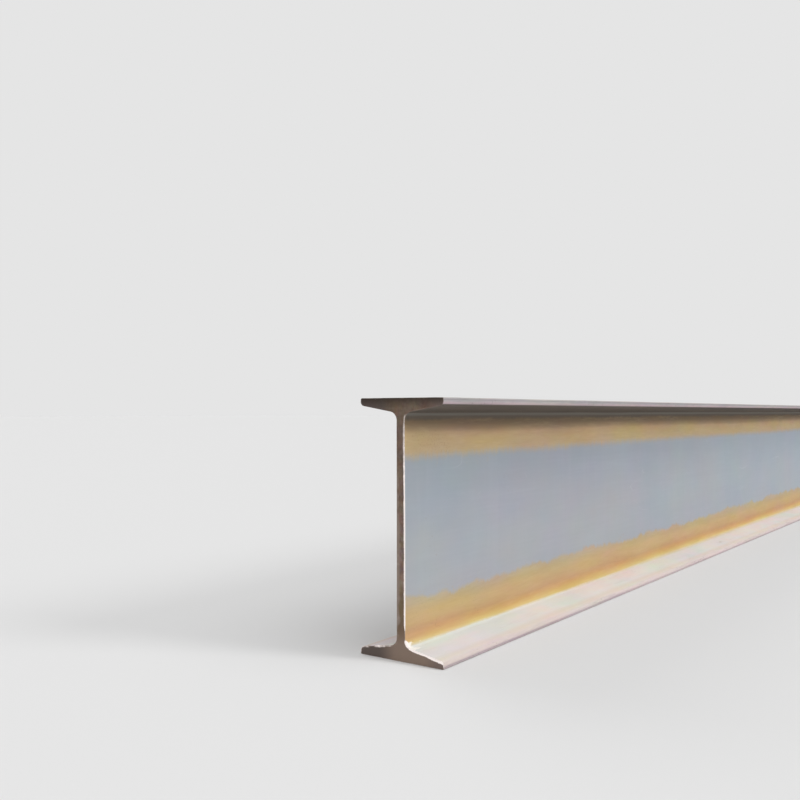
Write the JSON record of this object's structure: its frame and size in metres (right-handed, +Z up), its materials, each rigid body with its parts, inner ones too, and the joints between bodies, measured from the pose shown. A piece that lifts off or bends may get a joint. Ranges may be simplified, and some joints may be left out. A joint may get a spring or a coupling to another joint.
{
  "type": "steel i-beam",
  "caption": "Hot-rolled steel beam with an upright web between narrow tapered flanges, a plain stock length cut square at its ends for use as a girder, joist or column.",
  "frame": {"origin": "on the ground under the middle of the beam: mid length, mid width of the lower flange's underside", "axes": "+X along the beam, away from the cut end that the picture shows; +Y across the flanges, away from the picture's camera; +Z up the web"},
  "size_m": [6, 0.14, 0.36],
  "materials": {
    "rolled_steel": "dull blue-grey mill scale with ochre rust bands along the web, pale dust on the flanges' upper faces and a bright burr round the cut ends"
  },
  "bodies": {
    "root": {"beam": "rolled_steel"}
  },
  "joints": []
}
